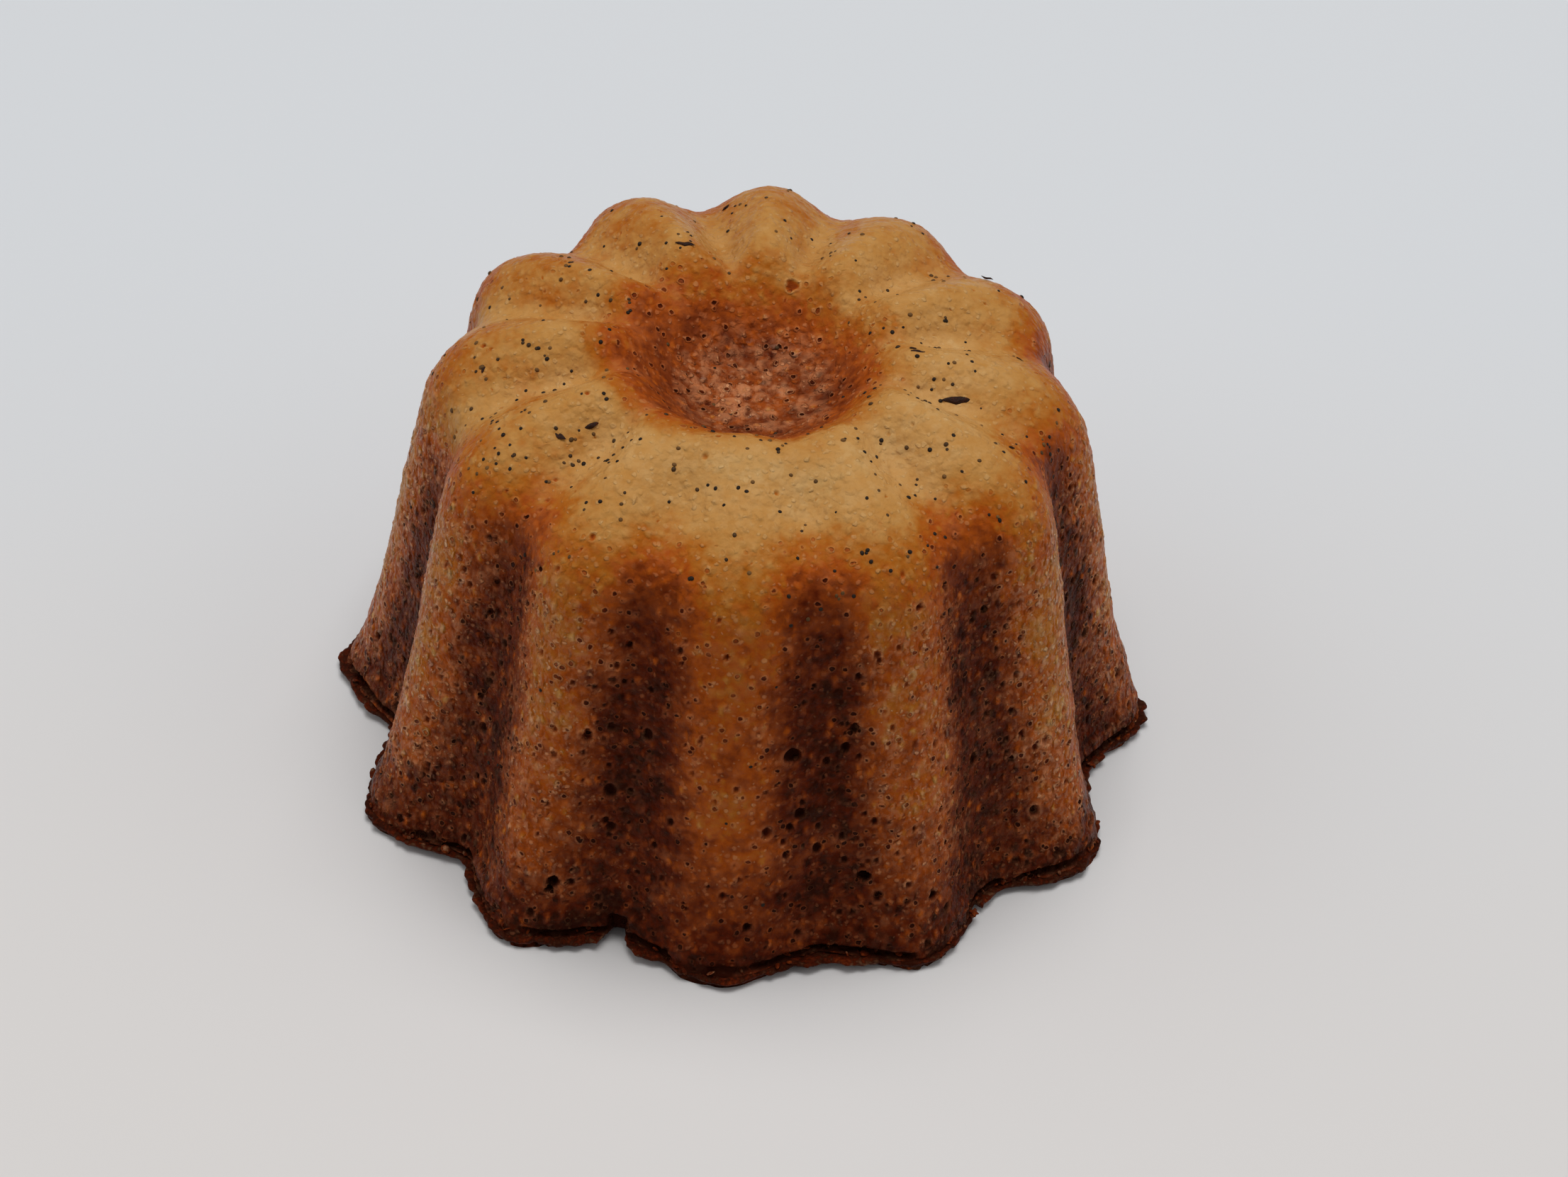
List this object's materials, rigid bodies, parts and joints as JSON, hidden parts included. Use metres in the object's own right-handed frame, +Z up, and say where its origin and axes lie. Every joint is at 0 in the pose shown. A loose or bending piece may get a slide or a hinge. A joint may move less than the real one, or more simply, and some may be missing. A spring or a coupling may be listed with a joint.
{
  "type": "canele",
  "caption": "Small fluted canele cake with a browned crust, rounded shoulders, a dimple in its top and a thin ragged lip round its foot.",
  "frame": {"origin": "the middle of the box of the foot's underside, on the surface that the cake stands on", "axes": "+Z up through the dimple, -Y towards the short front flute, +X to the right seen from the front"},
  "size_m": [0.0536, 0.0523, 0.0308],
  "materials": {
    "crust": "browned caramel crust, golden on the top and the backs of the flutes, dark brown in the valleys, the dimple and at the foot, with a soft gloss",
    "vanilla": "near-black vanilla seeds and flecks of pod, matt"
  },
  "bodies": {
    "root": {"cake": "crust"}
  },
  "joints": []
}
